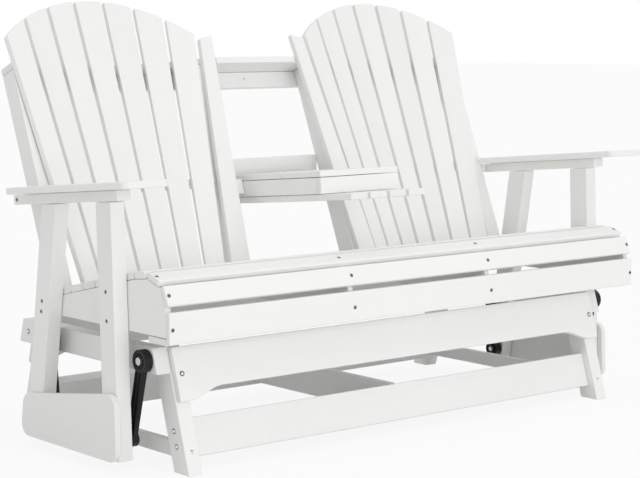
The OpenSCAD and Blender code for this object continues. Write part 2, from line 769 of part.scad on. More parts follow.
module skirt_right() {
    rear_edge = rear_post_y + rear_post_half;
    function front_edge(z) = -skirt_front + front_post_run * z;
    color("whitesmoke") difference() {
        side_board(post_out, board_t) polygon(rounded([
            [front_edge(post_low), post_low], [rear_edge - rear_post_run * post_low, post_low],
            [rear_edge - rear_post_run * skirt_rear_top, skirt_rear_top], [front_edge(skirt_top), skirt_top]],
            skirt_r, curve_steps));
        skirt_screws() screw_hole(post_screw_len);
    }
}
module skirt_left() { left() skirt_right(); }
module at_armrest() {
    translate([0, -armrest_front, armrest_z]) rotate([-armrest_pitch, 0, 0]) children();
}
module armrest_right() {
    far = armrest_len / cos(armrest_pitch);
    corners = [[0, 0], [armrest_w, 0], [armrest_w, far], [0, far]];
    color("whitesmoke") at_armrest() translate([seat_half - armrest_inboard, 0, -board_t])
        linear_extrude(board_t) polygon(concat(
            fillet(corners[3], corners[0], corners[1], armrest_r, curve_steps),
            fillet(corners[0], corners[1], corners[2], armrest_r, curve_steps), [corners[2], corners[3]]));
}
module armrest_left() { left() armrest_right(); }
module arm_cleats() {
    a = cleat_screw_y - spacer_half;
    b = cleat_screw_y + spacer_half;
    color("whitesmoke") difference() {
        both() {
            at_armrest() translate([seat_half, cleat_inset, -board_t - cleat_h])
                cube([post_t, cleat_len, cleat_h]);
            side_board(upright_out_x, board_t - fit) polygon([
                [a, cleat_under(a)], [b, cleat_under(b)], [b, armrest_under(b)], [a, armrest_under(a)]]);
        }
        cleat_screws() screw_hole(cleat_screw_len);
    }
}

// Backs, drawn with X across, Y backwards from the slats' front and Z along the slats
module upright(points) {
    color("whitesmoke") difference() {
        at_back() translate([0, 0, upright_low]) linear_extrude(upright_top - upright_low) polygon(points);
        upright_screws() screw_hole(post_screw_len);
        support_screws() screw_hole();
        rail_screws() screw_hole();
        cleat_screws() screw_hole(cleat_screw_len);
    }
}
module upright_outer_right() {
    upright([
        [upright_out_in, -outer_bevel_in], [upright_out_x, -outer_bevel_out],
        [upright_out_x, upright_rear], [upright_out_in, upright_rear]]);
}
module upright_outer_left() { left() upright_outer_right(); }
module upright_inner_right() {
    upright([
        [inner_upright_in, -filler_p], [inner_upright_in + inner_flat, -filler_p],
        [inner_upright_out, -inner_bevel], [inner_upright_out, upright_rear],
        [inner_upright_in, upright_rear]]);
}
module upright_inner_left() { left() upright_inner_right(); }
module fan_slat(g) {
    back_tilt = atan(fan_spread * (1 - cos(g)));
    out_tilt = atan(fan_spread * sin(g));
    top = fan_top + past;
    translate([fan_r(0) * sin(g), fan_r(0) * (cos(g) - 1), 0]) rotate([0, 0, -g]) rotate([-back_tilt, 0, 0])
        rotate([0, out_tilt, 0]) standing_board(board_t) polygon([
            [-fan_slat_w(-fan_tail) / 2, -fan_tail], [fan_slat_w(-fan_tail) / 2, -fan_tail],
            [fan_slat_w(top) / 2, top], [-fan_slat_w(top) / 2, top]]);
}
module fan_slats_right() {
    color("whitesmoke") at_back() translate([fan_x, 0, 0]) intersection() {
        for (i = [0:fan_count - 1]) fan_slat((i - (fan_count - 1) / 2) * fan_step);
        translate([0, 2 * board_t, fan_top - fan_top_r]) rotate([90, 0, 0])
            cylinder(r = fan_top_r, h = 5 * post_w);
    }
}
module fan_slats_left() { left() fan_slats_right(); }
module filler_boards() {
    low_x = filler_out(filler_low);
    top_x = filler_out(filler_top);
    color("whitesmoke") both() at_back() translate([0, -filler_p - board_t, 0]) standing_board(board_t)
        polygon([
            [low_x - filler_w(filler_low), filler_low], [low_x, filler_low],
            [top_x, filler_top - filler_slope], [top_x - filler_w(filler_top), filler_top]]);
}
function fan_facets(q) = [for (i = [0:fan_count]) let (a = fan_arc - i * fan_step,
    r = (fan_r(q) + board_t + fit) / cos(fan_step / 2)) [fan_x + r * sin(a), r * cos(a) - fan_r(q)]];
function inner_facets(q, x) = [for (p = fan_facets(q))
    if (p[0] < x && p[0] > inner_support_x + board_t / 2) p];
module top_support() {
    q = top_support_q + board_t;
    last = fan_facets(q)[fan_count];
    half = [
        [upright_out_x, upright_rear], [upright_out_x, slat_back(upright_out_x - fan_x, q)],
        each [for (p = fan_facets(q)) if (p[0] < upright_out_x) p],
        [last[0], -filler_p], [console_half + 2 * side_play, -filler_p],
        [console_half + 2 * side_play, -console_rest]];
    rear_half = [[-top_rail_half, upright_rear], [-top_rail_half, upright_rear + board_t]];
    color("whitesmoke") difference() {
        at_back() translate([0, 0, top_support_q]) linear_extrude(board_t) polygon(concat(
            half, flip(half), rear_half, flip(rear_half)));
        support_screws() screw_hole();
    }
}
module top_rail() {
    color("whitesmoke") difference() {
        at_back() translate([-top_rail_half, upright_rear, top_support_q - top_rail_h])
            cube([2 * top_rail_half, board_t, top_rail_h]);
        rail_screws() screw_hole();
        middle_screw() screw_hole(board_t - past);
    }
}
module bay_support(q, near) {
    top = q + board_t;
    at_back() translate([0, 0, q]) linear_extrude(board_t) polygon([
        [upright_out_in, upright_rear], [upright_out_in, slat_back(upright_out_in - fan_x, top)],
        each inner_facets(top, upright_out_in),
        [near, slat_back(fan_x - near, top)], [near, upright_rear]]);
}
module middle_supports() { color("whitesmoke") both() bay_support(mid_support_q, inner_upright_out); }
module low_supports() {
    color("whitesmoke") both() bay_support(low_support_q, inner_support_x + board_t / 2);
}
module console_stop_board() {
    color("whitesmoke") translate([-inner_upright_in, stop_y, stop_low])
        cube([2 * inner_upright_in, board_t, stop_top - stop_low]);
}

// Console, drawn level with its pivot at the origin and its front towards -Y
module console_pins() { at_console() both() out_side(console_half - board_t - tip, 0, 0) children(); }
module console_top() {
    top = console_h - console_pivot_h;
    joints = [-console_len, console_joint_front, console_joint_rear, console_tail];
    color("whitesmoke") at_console() for (i = [0:2])
        translate([-console_half, joints[i] + seam, top - board_t])
            cube([2 * console_half, joints[i + 1] - joints[i] - 2 * seam, board_t]);
}
module console_box() {
    h = console_h - board_t;
    inside = console_half - board_t;
    color("whitesmoke") difference() {
        at_console() translate([0, 0, -console_pivot_h]) {
            translate([-console_half, -console_len, 0]) cube([2 * console_half, board_t, h]);
            translate([-inside + seam, console_tail - board_t, 0]) cube([2 * (inside - seam), board_t, h]);
            both() translate([inside, -console_len + board_t + seam, 0])
                cube([board_t, console_len + console_tail - board_t - seam, h]);
        }
        console_pins() cylinder(d = console_bolt_d + 4 * fit, h = console_pin_len + tip);
    }
}
module console_panel() {
    color("whitesmoke") at_console() for (i = [0:panel_count - 1])
        translate([-panel_half + i * (panel_slat_w + panel_gap), -panel_len, -console_pivot_h - board_t])
            cube([panel_slat_w, panel_len + panel_tail, board_t]);
}
module console_hinge_blocks() {
    color("whitesmoke") both() difference() {
        at_back() translate([inner_upright_in - block_t, block_front, console_pivot_q - block_half])
            cube([block_t, block_rear - block_front, 2 * block_half]);
        console_pins() cylinder(d = console_bolt_d + 2 * fit, h = console_pin_len + tip);
    }
}
module console_pivot_bolts() {
    color("silver") console_pins() {
        dome(bolt_head_d, bolt_head_h);
        cylinder(d = console_bolt_d, h = console_pin_len);
    }
}

place() leg_front_left();
place() leg_front_right();
place() leg_rear_left();
place() leg_rear_right();
place() pivot_rail_left();
place() pivot_rail_right();
place() lower_rail_left();
place() lower_rail_right();
place() apron_front();
place() apron_rear();
place() stretcher_front();
place() stretcher_rear();
place() centre_brace();
place() base_bolts();
place() upper_pivot_bolts();
place() glide_arm_front_left();
place() glide_arm_front_right();
place() glide_arm_rear_left();
place() glide_arm_rear_right();
place() bearing_front_left();
place() bearing_front_right();
place() bearing_rear_left();
place() bearing_rear_right();
place() seat_support_outer_left();
place() seat_support_outer_right();
place() seat_support_inner_left();
place() seat_support_inner_right();
place() seat_slats();
place() front_lip_board();
place() front_brow_board();
place() front_lower_board();
place() front_under_board();
place() post_front_left();
place() post_front_right();
place() post_rear_left();
place() post_rear_right();
place() skirt_left();
place() skirt_right();
place() armrest_left();
place() armrest_right();
place() arm_cleats();
place() upright_outer_left();
place() upright_outer_right();
place() upright_inner_left();
place() upright_inner_right();
place() fan_slats_left();
place() fan_slats_right();
place() filler_boards();
place() top_support();
place() top_rail();
place() middle_supports();
place() low_supports();
place() console_stop_board();
place() lower_pivot_bolts();
place() seat_screws();
place() console_top();
place() console_box();
place() console_panel();
place() console_hinge_blocks();
place() console_pivot_bolts();
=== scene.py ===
# Outdoor glider loveseat of white plastic lumber: a low base, four black hanging glide arms, a
# two-place seat with fan backs, and a console between the backs that folds down.
# Metres, in the CAD frame: X is the width, the seat faces -Y, Z is up from the ground.
import json
import math

import bmesh
import bpy
import numpy as np
from mathutils import Matrix, Vector


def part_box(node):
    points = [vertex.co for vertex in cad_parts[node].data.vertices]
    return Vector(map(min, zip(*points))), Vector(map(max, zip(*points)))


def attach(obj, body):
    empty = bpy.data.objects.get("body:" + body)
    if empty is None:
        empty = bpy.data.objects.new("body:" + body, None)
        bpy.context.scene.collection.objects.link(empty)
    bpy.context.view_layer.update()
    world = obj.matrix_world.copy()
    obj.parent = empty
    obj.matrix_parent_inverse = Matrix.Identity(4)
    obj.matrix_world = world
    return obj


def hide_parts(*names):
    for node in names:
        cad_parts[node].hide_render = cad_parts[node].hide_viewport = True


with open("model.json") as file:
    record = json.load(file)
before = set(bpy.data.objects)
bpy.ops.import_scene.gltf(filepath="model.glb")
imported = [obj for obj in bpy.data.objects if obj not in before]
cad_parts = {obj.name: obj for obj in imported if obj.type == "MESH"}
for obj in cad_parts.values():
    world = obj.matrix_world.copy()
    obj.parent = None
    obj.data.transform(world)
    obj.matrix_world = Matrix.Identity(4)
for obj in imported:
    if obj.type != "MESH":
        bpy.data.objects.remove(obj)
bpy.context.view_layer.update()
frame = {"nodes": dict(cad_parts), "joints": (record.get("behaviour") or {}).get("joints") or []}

scene = bpy.context.scene
scene.view_settings.view_transform = "Standard"
MM = 0.001

# Camera and room
# The photograph's view: from the front left, a little above the armrests, with a long lens.
# The room is a pale floor under a soft white sky, with one large soft lamp low in front and a
# weak wide light from above.
camera_data = bpy.data.cameras.new("camera")
camera = bpy.data.objects.new("camera", camera_data)
scene.collection.objects.link(camera)
scene.camera = camera
picture_wide, picture_high = 640, 478
focal_px, middle_px = 1824.2, (320.0, 236.87)
sensor_wide, far_away = 36, 200
camera_at = Vector((-2.9452, -3.6015, 0.9712))
camera_turn, camera_dip, camera_roll = 39.18, 6.35, -0.199


def turned(degrees, axis):
    """A turn about one axis."""
    return Matrix.Rotation(math.radians(degrees), 4, axis)


camera_data.sensor_fit = "HORIZONTAL"
camera_data.sensor_width = sensor_wide
camera_data.lens = focal_px / picture_wide * sensor_wide
camera_data.shift_x = (picture_wide / 2 - middle_px[0]) / picture_wide
camera_data.shift_y = (middle_px[1] - picture_high / 2) / picture_wide
camera_data.clip_end = far_away
sight = turned(-camera_turn, "Z") @ turned(90 - camera_dip, "X") @ turned(camera_roll, "Z")
camera.matrix_world = Matrix.Translation(camera_at) @ sight


class Level:
    """A socket's value in a node tree, worked on with + - * / as a number is."""

    def __init__(self, bench, socket):
        self.bench, self.socket = bench, socket

    def work(self, operation, *values):
        return self.bench.add("ShaderNodeMath", {"operation": operation}, dict(enumerate(values)))

    def __add__(self, other):
        return self.work("ADD", self, other)

    def __sub__(self, other):
        return self.work("SUBTRACT", self, other)

    def __rsub__(self, other):
        return self.work("SUBTRACT", other, self)

    def __mul__(self, other):
        return self.work("MULTIPLY", self, other)

    def __truediv__(self, other):
        return self.work("DIVIDE", self, other)

    def __rtruediv__(self, other):
        return self.work("DIVIDE", other, self)

    __radd__, __rmul__ = __add__, __mul__


class Bench:
    """The nodes of one tree, for a finish, a light or a shape."""

    def __init__(self, tree):
        self.tree = tree

    def add(self, kind, settings=None, values=None, out=0):
        node = self.tree.nodes.new(kind)
        for name, value in (settings or {}).items():
            setattr(node, name, value)
        for name, value in (values or {}).items():
            if isinstance(value, Level):
                self.tree.links.new(value.socket, node.inputs[name])
            else:
                node.inputs[name].default_value = value
        return Level(self, node.outputs[out])


world = bpy.data.worlds.new("sky")
world.use_nodes = True
scene.world = world
world.node_tree.nodes.clear()
sky = Bench(world.node_tree)
seen_as = "ShaderNodeLightPath"
straight = sky.add(seen_as, out="Is Camera Ray") + sky.add(seen_as, out="Is Glossy Ray")
straight = straight + sky.add(seen_as, out="Is Transmission Ray")
white_light = (1, 1, 1, 1)
sky_level = 0.655
sky_light = sky.add("ShaderNodeBackground", values={
    "Color": white_light, "Strength": straight * (1 - sky_level) + sky_level})
world_out = world.node_tree.nodes.new("ShaderNodeOutputWorld")
world.node_tree.links.new(sky_light.socket, world_out.inputs["Surface"])

lamp_at, lamp_aim = Vector((-1.1, -6.4, 1.4)), Vector((0, 0, 0.5))
lamp_wide, lamp_high, lamp_power = 4.6, 2.4, 98
lamp_data = bpy.data.lights.new("window", "AREA")
lamp_data.energy = lamp_power
lamp_data.shape = "RECTANGLE"
lamp_data.size, lamp_data.size_y = lamp_wide, lamp_high
lamp = bpy.data.objects.new("window", lamp_data)
scene.collection.objects.link(lamp)
facing = (lamp_at - lamp_aim).to_track_quat("Z", "Y").to_matrix().to_4x4()
lamp.matrix_world = Matrix.Translation(lamp_at) @ facing

above_from, above_spread, above_power = Vector((0.15, -0.25, 1.0)), math.radians(60), 0.5
above_data = bpy.data.lights.new("ceiling", "SUN")
above_data.energy = above_power
above_data.angle = above_spread
above = bpy.data.objects.new("ceiling", above_data)
scene.collection.objects.link(above)
above.matrix_world = above_from.to_track_quat("Z", "Y").to_matrix().to_4x4()

floor_half, paper_tone, glow_share = 40, 0.87, 0.88
floor_mesh = bpy.data.meshes.new("floor")
floor_mesh.from_pydata(
    [(-floor_half, -floor_half, 0), (floor_half, -floor_half, 0),
     (floor_half, floor_half, 0), (-floor_half, floor_half, 0)], [], [(0, 1, 2, 3)])
floor = bpy.data.objects.new("floor", floor_mesh)
scene.collection.objects.link(floor)
floor_finish = bpy.data.materials.new("floor")
floor_finish.use_nodes = True
floor_finish.node_tree.nodes.clear()
ground = Bench(floor_finish.node_tree)
seen = ground.add(seen_as, out="Is Camera Ray") + ground.add(seen_as, out="Is Glossy Ray")
paper = ground.add("ShaderNodeBsdfDiffuse", values={"Color": (paper_tone,) * 3 + (1,)})
glow = ground.add("ShaderNodeEmission", values={"Color": white_light, "Strength": 1.0})
mixed = ground.add("ShaderNodeMixShader", values={0: seen * glow_share, 1: paper, 2: glow})
floor_out = floor_finish.node_tree.nodes.new("ShaderNodeOutputMaterial")
floor_finish.node_tree.links.new(mixed.socket, floor_out.inputs["Surface"])
floor_mesh.materials.append(floor_finish)

# Base legs
# Four thick boards of white plastic lumber that lean inwards, cut level at both ends.
# Each is sawn from a plank whose edges were rounded in the mould, with a faint brushed grain.
merge_within = 0.002 * MM
flat_angle, edge_angle, same_way, square_way = 0.008, 0.45, 0.9999, 0.05
board_round, round_steps = 2.2 * MM, 3
board_seam, wide_seam = 0.35 * MM, 0.9 * MM
draws = np.random.default_rng(41)


def solids_in(mesh):
    """The separate solids of a mesh, each in a mesh of its own."""
    stock = bmesh.new()
    stock.from_mesh(mesh)
    bmesh.ops.remove_doubles(stock, verts=stock.verts, dist=merge_within)
    stock.verts.index_update()
    stock.verts.ensure_lookup_table()
    owner = [-1] * len(stock.verts)
    count = 0
    for start in stock.verts:
        if owner[start.index] >= 0:
            continue
        owner[start.index] = count
        reach = [start]
        while reach:
            for edge in reach.pop().link_edges:
                for vert in edge.verts:
                    if owner[vert.index] < 0:
                        owner[vert.index] = count
                        reach.append(vert)
        count += 1
    found = []
    for number in range(count):
        solid = bmesh.new()
        copies = {v.index: solid.verts.new(v.co) for v in stock.verts if owner[v.index] == number}
        for face in stock.faces:
            if owner[face.verts[0].index] == number:
                solid.faces.new([copies[v.index] for v in face.verts])
        solid.normal_update()
        found.append(solid)
    stock.free()
    return found


def solids_of(node):
    """The separate solids of a CAD node."""
    return solids_in(frame["nodes"][node].data)


def plugged(solid):
    """A straight-sided board without its bolt holes, which their bolts fill."""
    board = bmesh.new()
    for vert in solid.verts:
        board.verts.new(vert.co)
    hull = bmesh.ops.convex_hull(board, input=board.verts)
    spare = [g for g in hull["geom_interior"] if isinstance(g, bmesh.types.BMVert)]
    bmesh.ops.delete(board, geom=spare, context="VERTS")
    solid.free()
    return board


def broad_face(board):
    """The direction of a board's largest flat face, the first of two that are about as large."""
    tried, clearly_more = 12, 1.02
    faces = sorted(board.faces, key=lambda f: -f.calc_area())
    best, most = faces[0].normal, 0.0
    for face in faces[:tried]:
        area = sum(f.calc_area() for f in board.faces if f.normal.dot(face.normal) > same_way)
        if area > most * clearly_more:
            best, most = face.normal.copy(), area
    return best


def board_axes(board):
    """Across, through and along a board, from its broad face and its longest edge."""
    through = broad_face(board)
    ways = [(e, (e.verts[1].co - e.verts[0].co).normalized()) for e in board.edges]
    flat = [(e, way) for e, way in ways if abs(way.dot(through)) < square_way]
    along = max(flat, key=lambda pair: round(pair[0].calc_length(), 6))[1]
    along = (along - through * along.dot(through)).normalized()
    return through.cross(along), through, along


def rounded(board, edges, rounding, steps):
    """Rolls these edges over to a radius."""
    bmesh.ops.bevel(board, geom=edges, offset=rounding, offset_type="OFFSET", segments=steps,
                    profile=0.5, affect="EDGES", clamp_overlap=True)


def eased(board, rounding=board_round, seam=board_seam):
    """Rounds the edges of a board, leaves a hair of room round it where it meets its neighbours,
    and marks its grain, its sawn ends and its lot."""
    least_edge, sawn_over, slide_range = 2 * MM, 0.75, 5
    bmesh.ops.dissolve_limit(board, angle_limit=flat_angle, verts=board.verts, edges=board.edges)
    for vert in [v for v in board.verts if not v.link_faces]:
        board.verts.remove(vert)
    board.normal_update()
    across, through, along = board_axes(board)
    middle = sum((v.co for v in board.verts), Vector()) / len(board.verts)
    for axis in (across, through, along):
        spots = [v.co.dot(axis) for v in board.verts]
        half, centre = (max(spots) - min(spots)) / 2, (max(spots) + min(spots)) / 2
        for vert in board.verts:
            vert.co -= axis * ((vert.co.dot(axis) - centre) * seam / half)
    sharp = [e for e in board.edges if len(e.link_faces) == 2
             and e.calc_face_angle() > edge_angle and e.calc_length() > least_edge]
    rounded(board, sharp, rounding, round_steps)
    board.normal_update()
    grain = board.verts.layers.float_vector.new("board")
    lot = board.verts.layers.float.new("lot")
    end = board.faces.layers.float.new("end")
    tone, slide = draws.random(), draws.random() * slide_range
    for vert in board.verts:
        at = vert.co - middle
        vert[grain] = (at.dot(across) + slide, at.dot(through), at.dot(along) + slide)
        vert[lot] = tone
    for face in board.faces:
        face[end] = 1.0 if abs(face.normal.dot(along)) > sawn_over else 0.0
        face.smooth = True
    return board


def stacked(name, boards):
    """Several boards in one mesh, shaded so that flat faces stay flat and rounded edges roll."""
    joined, spare = bmesh.new(), bpy.data.meshes.new("spare")
    for board in boards:
        board.to_mesh(spare)
        board.free()
        joined.from_mesh(spare)
    mesh = bpy.data.meshes.new(name)
    joined.to_mesh(mesh)
    joined.free()
    bpy.data.meshes.remove(spare)
    leaning = np.zeros((len(mesh.vertices), 3))
    for face in mesh.polygons:
        leaning[list(face.vertices)] += np.array(face.normal) * face.area
    leaning /= np.maximum(np.linalg.norm(leaning, axis=1, keepdims=True), 1e-12)
    mesh.normals_split_custom_set_from_vertices(leaning.tolist())
    return mesh


def finish_tree(name):
    """A new material and the bench on which its nodes are set out."""
    material = bpy.data.materials.new(name)
    material.use_nodes = True
    material.node_tree.nodes.clear()
    return material, Bench(material.node_tree)


def close_finish(bench, **sockets):
    """Ends a finish in one shader with these sockets."""
    skin = bench.add("ShaderNodeBsdfPrincipled", values={
        label.replace("_", " "): value for label, value in sockets.items()})
    out = bench.tree.nodes.new("ShaderNodeOutputMaterial")
    bench.tree.links.new(skin.socket, out.inputs["Surface"])


def blended(bench, share, first, second):
    """A colour between two, by a share of the second."""
    return bench.add("ShaderNodeMix", {"data_type": "RGBA"}, {0: share, 6: first, 7: second}, out=2)


def grain_noise(bench, where, stretch, detail=2.0):
    """Noise about zero, read along a board and drawn out by a different amount each way."""
    place = bench.add("ShaderNodeVectorMath", {"operation": "MULTIPLY"}, {0: where, 1: stretch})
    noise = bench.add("ShaderNodeTexNoise", values={
        "Vector": place, "Scale": 1.0, "Detail": detail, "Roughness": 0.55})
    return noise - 0.5


def relief_of(bench, height, strength, depth):
    """Small relief on a surface from a height."""
    return bench.add("ShaderNodeBump", values={
        "Strength": strength, "Distance": depth, "Height": height})


lumber, bench = finish_tree("white_lumber")
where = bench.add("ShaderNodeAttribute", {"attribute_name": "board"}, out="Vector")
lot = bench.add("ShaderNodeAttribute", {"attribute_name": "lot"}, out="Fac")
sawn = bench.add("ShaderNodeAttribute", {"attribute_name": "end"}, out="Fac")
streaks = grain_noise(bench, where, (620.0, 620.0, 9.0), detail=3.0)
brushing = grain_noise(bench, where, (1900.0, 1900.0, 60.0))
clouds = grain_noise(bench, where, (9.0, 9.0, 2.5))
saw_marks = grain_noise(bench, where, (35.0, 900.0, 40.0))
lumber_white, no_light, plastic_ior = (0.93, 0.93, 0.915, 1), (0.0, 0.0, 0.0, 1), 1.46
shade = 0.955 + lot * 0.03 + streaks * 0.05 + clouds * 0.05 - sawn * 0.03
dull = 0.40 + clouds * 0.16 + streaks * 0.12 + sawn * 0.14
height = streaks * 0.55 + brushing * 0.35 + sawn * saw_marks * 1.2
close_finish(bench, Base_Color=blended(bench, shade, no_light, lumber_white), Roughness=dull,
             Normal=relief_of(bench, height, 0.35, 0.3 * MM), IOR=plastic_ior)


def set_down(name, mesh, finish, body, nodes=()):
    """Puts a finished mesh in the scene as a piece that rides on a body."""
    mesh.materials.clear()
    mesh.materials.append(finish)
    piece = bpy.data.objects.new(name, mesh)
    scene.collection.objects.link(piece)
    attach(piece, body)
    if nodes:
        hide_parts(*nodes)
    return piece


def lumber_piece(name, body, *nodes, cut=plugged, rounding=board_round, seam=board_seam):
    """A lumber piece cut to its CAD nodes' solids, with its edges eased."""
    boards = [eased(cut(solid), rounding, seam) for node in nodes for solid in solids_of(node)]
    return set_down(name, stacked(name, boards), lumber, body, nodes)


for end in ("front", "rear"):
    for side in ("left", "right"):
        lumber_piece(f"{end}_{side}_leg", "base", f"leg_{end}_{side}")

# Side rails of the base
# A thick pivot rail at each side carries the glide arms' upper bolts, screwed to the legs.
# A thin rail low down ties each front leg to its rear leg.
for side in ("left", "right"):
    lumber_piece(f"{side}_pivot_rail", "base", f"pivot_rail_{side}")
    lumber_piece(f"{side}_lower_rail", "base", f"lower_rail_{side}")

# Aprons
# A thin board across the legs at the front and at the rear, lying on their slope.
# Its lower edge is sawn up in a long curve between two feet.
same_plane = 0.1 * MM


def spread(ring, through):
    """Twice the area inside a ring of points, seen along a direction."""
    total = Vector()
    for a, b in zip(ring, ring[1:] + ring[:1]):
        total += a.cross(b)
    return total.dot(through)


def recut(solid):
    """A shaped board drawn again from the outline of its broad face, without its screw holes."""
    through = broad_face(solid)
    reach = [v.co.dot(through) for v in solid.verts]
    near, thick = max(reach), max(reach) - min(reach)
    broad = {f for f in solid.faces if f.normal.dot(through) > same_way
             and abs(f.verts[0].co.dot(through) - near) < same_plane}
    steps = {}
    for face in broad:
        for loop in face.loops:
            if not any(f in broad for f in loop.edge.link_faces if f is not face):
                steps[loop.vert] = loop.link_loop_next.vert
    outlines = []
    used = set()
    for start in solid.verts:
        if start not in steps or start in used:
            continue
        ring, vert = [], start
        while vert not in used:
            used.add(vert)
            ring.append(vert.co.copy())
            vert = steps[vert]
        outlines.append(ring)
    ring = max(outlines, key=lambda outline: spread(outline, through))
    board = bmesh.new()
    top = [board.verts.new(co) for co in ring]
    low = [board.verts.new(co - through * thick) for co in ring]
    board.faces.new(top)
    board.faces.new(low[::-1])
    for i in range(len(ring)):
        j = (i + 1) % len(ring)
        board.faces.new((top[j], top[i], low[i], low[j]))
    board.normal_update()
    solid.free()
    return board


for end in ("front", "rear"):
    lumber_piece(f"{end}_apron", "base", f"apron_{end}", cut=recut)

# Stretchers and brace
# Thick stretchers between the two legs of each pair, near the ground, and one thin board on
# edge that runs from front to rear between them.
for end in ("front", "rear"):
    lumber_piece(f"{end}_stretcher", "base", f"stretcher_{end}")
lumber_piece("centre_brace_board", "base", "centre_brace")

# Carriage bolts of the base
# Stainless carriage bolts: a low dome, with a thin ring round it painted dark as the shadow
# in the seat that the square neck has drawn into the lumber.


def shanks_of(node):
    """Each fastener of a CAD node: its outermost point, the way its head faces, its length."""
    end_part, head_part = 0.2, 0.4
    found = []
    for solid in solids_of(node):
        corners = np.array([v.co for v in solid.verts], float)
        solid.free()
        middle = (corners.max(0) + corners.min(0)) / 2
        axis = np.linalg.svd(corners - corners.mean(0), full_matrices=False)[2][0]
        spots = (corners - middle) @ axis
        off = corners - middle - np.outer(spots, axis)
        off -= (off.max(0) + off.min(0)) / 2
        wide = np.linalg.norm(off, axis=1)
        reach = spots.max() - spots.min()
        wide_top = wide[spots > spots.max() - end_part * reach].max()
        wide_low = wide[spots < spots.min() + end_part * reach].max()
        sign = 1 if wide_top >= wide_low else -1
        out = axis * sign
        # The shank's line runs through the middle of the box round the points near the head
        ring = corners[spots * sign > (spots * sign).max() - head_part * reach]
        flat = ring - np.outer(ring @ out, out)
        centre = (flat.max(0) + flat.min(0)) / 2
        centre = centre - out * (centre @ out)
        found.append((Vector(centre + out * (corners @ out).max()), Vector(out), float(reach)))
    return found


def lathed(name, outline, parts=40, tint=None, sharp_over=35):
    """A turned part from its outline, given as radius and height, with the axis upwards."""
    body = bmesh.new()
    mark = body.faces.layers.float.new("tint")
    rings = []
    for radius, up in outline:
        if radius == 0:
            rings.append([body.verts.new((0, 0, up))])
            continue
        angles = [math.tau * k / parts for k in range(parts)]
        rings.append([body.verts.new((radius * math.cos(a), radius * math.sin(a), up))
                      for a in angles])
    for row, (lower, upper) in enumerate(zip(rings, rings[1:])):
        for k in range(parts):
            n = (k + 1) % parts
            if len(lower) == 1 and len(upper) == 1:
                continue
            if len(lower) == 1:
                corners = (lower[0], upper[n], upper[k])
            elif len(upper) == 1:
                corners = (lower[k], lower[n], upper[0])
            else:
                corners = (lower[k], lower[n], upper[n], upper[k])
            face = body.faces.new(corners)
            face.smooth = True
            face[mark] = tint[row] if tint else 0.0
    bmesh.ops.recalc_face_normals(body, faces=body.faces)
    mesh = bpy.data.meshes.new(name)
    body.to_mesh(mesh)
    body.free()
    mesh.set_sharp_from_angle(angle=math.radians(sharp_over))
    return mesh


def open_shape(name, **kinds):
    """A new tree for a shape, with inputs of these names and kinds, and what they give."""
    tree = bpy.data.node_groups.new(name, "GeometryNodeTree")
    for label, kind in kinds.items():
        tree.interface.new_socket(label, in_out="INPUT", socket_type="NodeSocket" + kind)
    tree.interface.new_socket("Shape", in_out="OUTPUT", socket_type="NodeSocketGeometry")
    bench = Bench(tree)
    return bench, {label: bench.add("NodeGroupInput", out=label) for label in kinds}


def close_shape(bench, shape, finish):
    """Ends a shape's tree: its instances made real, in one finish."""
    solid = bench.add("GeometryNodeRealizeInstances", values={"Geometry": shape})
    coated = bench.add("GeometryNodeSetMaterial", values={"Geometry": solid, "Material": finish})
    end = bench.tree.nodes.new("NodeGroupOutput")
    bench.tree.links.new(coated.socket, end.inputs["Shape"])
    return bench.tree


def heads_tree():
    """Sets one turned part on every point of a cloud, facing each point's own way out."""
    bench, given = open_shape("heads_on_points", Points="Geometry", Head="Object",
                              Finish="Material", Seed="Int")
    shape = bench.add("GeometryNodeObjectInfo", values={"Object": given["Head"]}, out="Geometry")
    out = bench.add("GeometryNodeInputNamedAttribute", {"data_type": "FLOAT_VECTOR"}, {
        "Name": "out"})
    upright = bench.add("FunctionNodeAlignRotationToVector", {"axis": "Z"}, {"Vector": out})
    spin = bench.add("FunctionNodeRandomValue", {"data_type": "FLOAT"}, {
        2: 0.0, 3: math.tau, "Seed": given["Seed"]}, out=1)
    about = bench.add("FunctionNodeAxisAngleToRotation", values={"Axis": (0, 0, 1), "Angle": spin})
    facing = bench.add("FunctionNodeRotateRotation", {"rotation_space": "LOCAL"}, {
        "Rotation": upright, "Rotate By": about})
    placed = bench.add("GeometryNodeInstanceOnPoints", values={
        "Points": given["Points"], "Instance": shape, "Rotation": facing})
    return close_shape(bench, placed, given["Finish"])


def grown(name, start, tree, **sizes):
    """Runs a tree on a mesh and returns the plain mesh that it makes."""
    holder = bpy.data.objects.new(name, start)
    scene.collection.objects.link(holder)
    modifier = holder.modifiers.new("shape", "NODES")
    modifier.node_group = tree
    sockets = {s.name: s.identifier for s in tree.interface.items_tree
               if s.item_type == "SOCKET" and s.in_out == "INPUT"}
    for label, value in sizes.items():
        modifier[sockets[label.replace("_", " ")]] = value
    bpy.context.view_layer.update()
    shaped = holder.evaluated_get(bpy.context.evaluated_depsgraph_get())
    mesh = bpy.data.meshes.new_from_object(shaped)
    holder.modifiers.remove(modifier)
    bpy.data.objects.remove(holder)
    bpy.data.meshes.remove(start)
    mesh.name = name
    return mesh


heads_on_points = heads_tree()


def heads(name, spots, head, finish, body, nodes=(), seed=1):
    """Puts a turned head at each spot, given as a point and the way out."""
    cloud = bpy.data.meshes.new("spots")
    cloud.from_pydata([tuple(at) for at, _ in spots], [], [])
    facing = cloud.attributes.new("out", "FLOAT_VECTOR", "POINT")
    facing.data.foreach_set("vector", [c for _, out in spots for c in out])
    pattern = bpy.data.objects.new("head", head)
    scene.collection.objects.link(pattern)
    mesh = grown(name, cloud, heads_on_points, Head=pattern, Finish=finish, Seed=seed)
    bpy.data.objects.remove(pattern)
    return set_down(name, mesh, finish, body, nodes)


